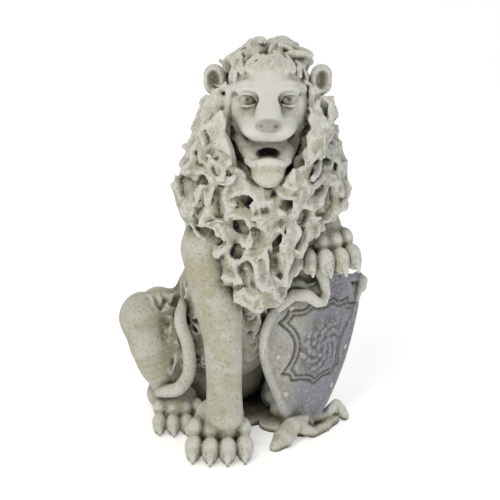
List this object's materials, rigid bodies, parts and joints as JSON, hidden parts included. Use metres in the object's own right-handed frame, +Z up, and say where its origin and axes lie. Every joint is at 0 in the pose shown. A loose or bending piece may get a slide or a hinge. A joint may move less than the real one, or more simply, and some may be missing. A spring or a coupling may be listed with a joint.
{
  "type": "lion garden statue",
  "caption": "Seated lion with a full curled mane, head turned, one forepaw on the ground and the other resting on an upright cartouche shield.",
  "frame": {"origin": "middle of the bounding box on the ground, under the casting", "axes": "+Z up; the body faces -Y with its left side towards +X, and the head is turned about 20 degrees to its right"},
  "size_m": [0.4414, 0.5056, 0.7431],
  "materials": {
    "cast_stone": "weathered cast stone, matt and finely pitted, with dirt and moss in the recesses"
  },
  "bodies": {
    "root": {"lion_statue": "cast_stone"}
  },
  "joints": []
}
